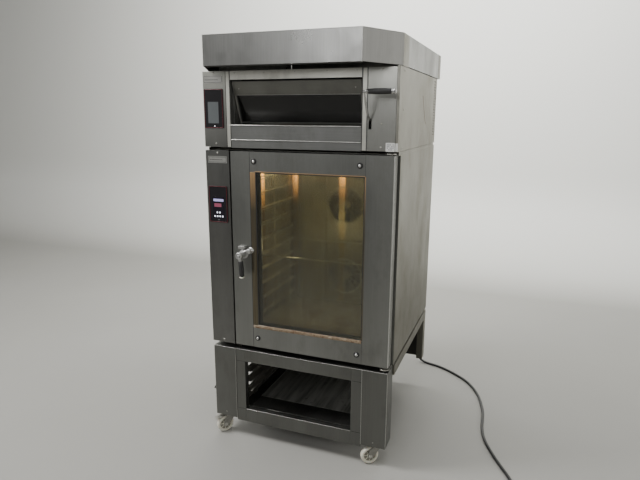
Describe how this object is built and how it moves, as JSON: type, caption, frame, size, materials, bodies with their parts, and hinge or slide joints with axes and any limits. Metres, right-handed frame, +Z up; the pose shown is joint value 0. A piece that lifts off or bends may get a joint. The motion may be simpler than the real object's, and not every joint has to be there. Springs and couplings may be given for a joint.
{
  "type": "deck oven",
  "caption": "Bakery oven combination on a wheeled stand: tall glass-door convection oven, slanted-door deck oven above it, steam hood over both, tray bay below.",
  "frame": {"origin": "on the floor under the middle of the ovens and the hood", "axes": "+Z up, -Y out of the front, +X to the right seen from the front"},
  "size_m": [1.8041, 1.4493, 2.0501],
  "materials": {
    "stainless": "satin",
    "stainless_side": "satin",
    "dark_sheet": "satin",
    "cavity_steel": "satin",
    "chrome": "polished",
    "zinc": "satin",
    "brass": "satin",
    "plate": "satin",
    "heater_tube": "matte",
    "mineral_wool": "matte",
    "black_rubber": "matte",
    "cord_rubber": "satin",
    "black_plastic": "satin",
    "nylon": "satin",
    "door_glass": "polished",
    "deck_glass": "polished",
    "display_glass": "gloss",
    "lamp_glass": "polished",
    "stone": "matte"
  },
  "bodies": {
    "root": {"stand_posts": "stainless", "stand_front_frame": "stainless", "stand_side_rails": "stainless_side", "stand_rear_legs": "stainless_side", "stand_rear_panel": "dark_sheet", "base_frame": "dark_sheet", "bay_shelf": "dark_sheet", "bay_runners": "dark_sheet", "caster_plates": "zinc", "oven_base_panel": "dark_sheet", "side_panels": "stainless_side", "rear_panels": "stainless", "top_panels": "stainless", "control_columns": "stainless", "cavity_liner": "cavity_steel", "fan_baffle": "cavity_steel", "insulation": "mineral_wool", "oven_front_frame": "stainless", "door_gasket": "black_rubber", "tray_racks": "cavity_steel", "fan_motors": "dark_sheet", "ring_heaters": "heater_tube", "cavity_lamps": "lamp_glass", "hinge_brackets": "zinc", "cable_gland": "black_plastic", "controllers": "black_plastic", "displays": "display_glass", "plates_and_label": "plate", "panel_screws": "zinc", "drain_valve": "brass", "deck_front_frame": "stainless", "lever_panel": "stainless", "deck_chamber": "dark_sheet", "stone_sole": "stone", "rod_heaters": "heater_tube", "hood_shell": "stainless", "flue_spigot": "stainless", "cord_tube": "cord_rubber", "cord_coil": "cord_rubber", "cord_plug": "black_plastic"},
    "door": {"door_frame": "stainless", "door_glass": "door_glass", "handle_base": "chrome"},
    "door_handle": {"door_handle": "chrome"},
    "deck_door": {"deck_door_frame": "dark_sheet", "deck_door_glass": "deck_glass"},
    "deck_lever": {"deck_lever": "chrome", "deck_lever_grip": "black_rubber"},
    "fan_upper": {"fan_wheel_upper": "cavity_steel"},
    "fan_lower": {"fan_wheel_lower": "cavity_steel"},
    "fork_front_left": {"fork_front_left": "zinc"},
    "wheel_front_left": {"wheel_front_left": "nylon"},
    "fork_front_right": {"fork_front_right": "zinc"},
    "wheel_front_right": {"wheel_front_right": "nylon"},
    "fork_rear_left": {"fork_rear_left": "zinc"},
    "wheel_rear_left": {"wheel_rear_left": "nylon"},
    "fork_rear_right": {"fork_rear_right": "zinc"},
    "wheel_rear_right": {"wheel_rear_right": "nylon"},
    "brake_pedal": {"brake_pedal": "zinc"},
    "drain_lever": {"drain_lever": "chrome"}
  },
  "joints": [
    {"name": "door_hinge", "type": "hinge", "parent": "root", "child": "door", "pos_m": [0.438, -0.408, 1.01], "axis": [0, 0, 1], "range_deg": [0, 120]},
    {"name": "door_handle_turn", "type": "hinge", "parent": "door", "child": "door_handle", "pos_m": [-0.275, -0.482, 1.003], "axis": [0, 1, 0], "range_deg": [0, 90]},
    {"name": "deck_door_swing", "type": "hinge", "parent": "root", "child": "deck_door", "pos_m": [-0.0085, -0.416, 1.811], "axis": [1, 0, 0], "range_deg": [0, 62]},
    {"name": "deck_lever_turn", "type": "hinge", "parent": "root", "child": "deck_lever", "pos_m": [0.3465, -0.41, 1.63], "axis": [1, 0, 0], "range_deg": [0, 62]},
    {"name": "fan_upper_spin", "type": "hinge", "parent": "root", "child": "fan_upper", "pos_m": [0.063, 0.178, 1.182], "axis": [0, 1, 0], "continuous": true},
    {"name": "fan_lower_spin", "type": "hinge", "parent": "root", "child": "fan_lower", "pos_m": [0.063, 0.178, 0.772], "axis": [0, 1, 0], "continuous": true},
    {"name": "swivel_front_left", "type": "hinge", "parent": "root", "child": "fork_front_left", "pos_m": [-0.405, -0.394, 0.095], "axis": [0, 0, 1], "continuous": true},
    {"name": "roll_front_left", "type": "hinge", "parent": "fork_front_left", "child": "wheel_front_left", "pos_m": [-0.42621, -0.41928, 0.044], "axis": [-0.766, 0.6428, 0], "continuous": true},
    {"name": "swivel_front_right", "type": "hinge", "parent": "root", "child": "fork_front_right", "pos_m": [0.405, -0.394, 0.095], "axis": [0, 0, 1], "continuous": true},
    {"name": "roll_front_right", "type": "hinge", "parent": "fork_front_right", "child": "wheel_front_right", "pos_m": [0.37764, -0.41245, 0.044], "axis": [-0.5592, 0.829, 0], "continuous": true},
    {"name": "swivel_rear_left", "type": "hinge", "parent": "root", "child": "fork_rear_left", "pos_m": [-0.255, 0.43, 0.095], "axis": [0, 0, 1], "continuous": true},
    {"name": "roll_rear_left", "type": "hinge", "parent": "fork_rear_left", "child": "wheel_rear_left", "pos_m": [-0.28638, 0.4198, 0.044], "axis": [-0.309, 0.9511, 0], "continuous": true},
    {"name": "swivel_rear_right", "type": "hinge", "parent": "root", "child": "fork_rear_right", "pos_m": [0.255, 0.43, 0.095], "axis": [0, 0, 1], "continuous": true},
    {"name": "roll_rear_right", "type": "hinge", "parent": "fork_rear_right", "child": "wheel_rear_right", "pos_m": [0.23951, 0.40086, 0.044], "axis": [-0.8829, 0.4695, 0], "continuous": true},
    {"name": "brake_pedal_tilt", "type": "hinge", "parent": "fork_front_left", "child": "brake_pedal", "pos_m": [-0.42236, -0.41468, 0.094], "axis": [0.766, -0.6428, 0], "range_deg": [0, 10]},
    {"name": "drain_lever_turn", "type": "hinge", "parent": "root", "child": "drain_lever", "pos_m": [-0.47, -0.412, 0.262], "axis": [0, 1, 0], "range_deg": [0, 90]}
  ],
  "couplings": [
    {"joint": "deck_lever_turn", "follows": "deck_door_swing", "ratio": 1}
  ]
}
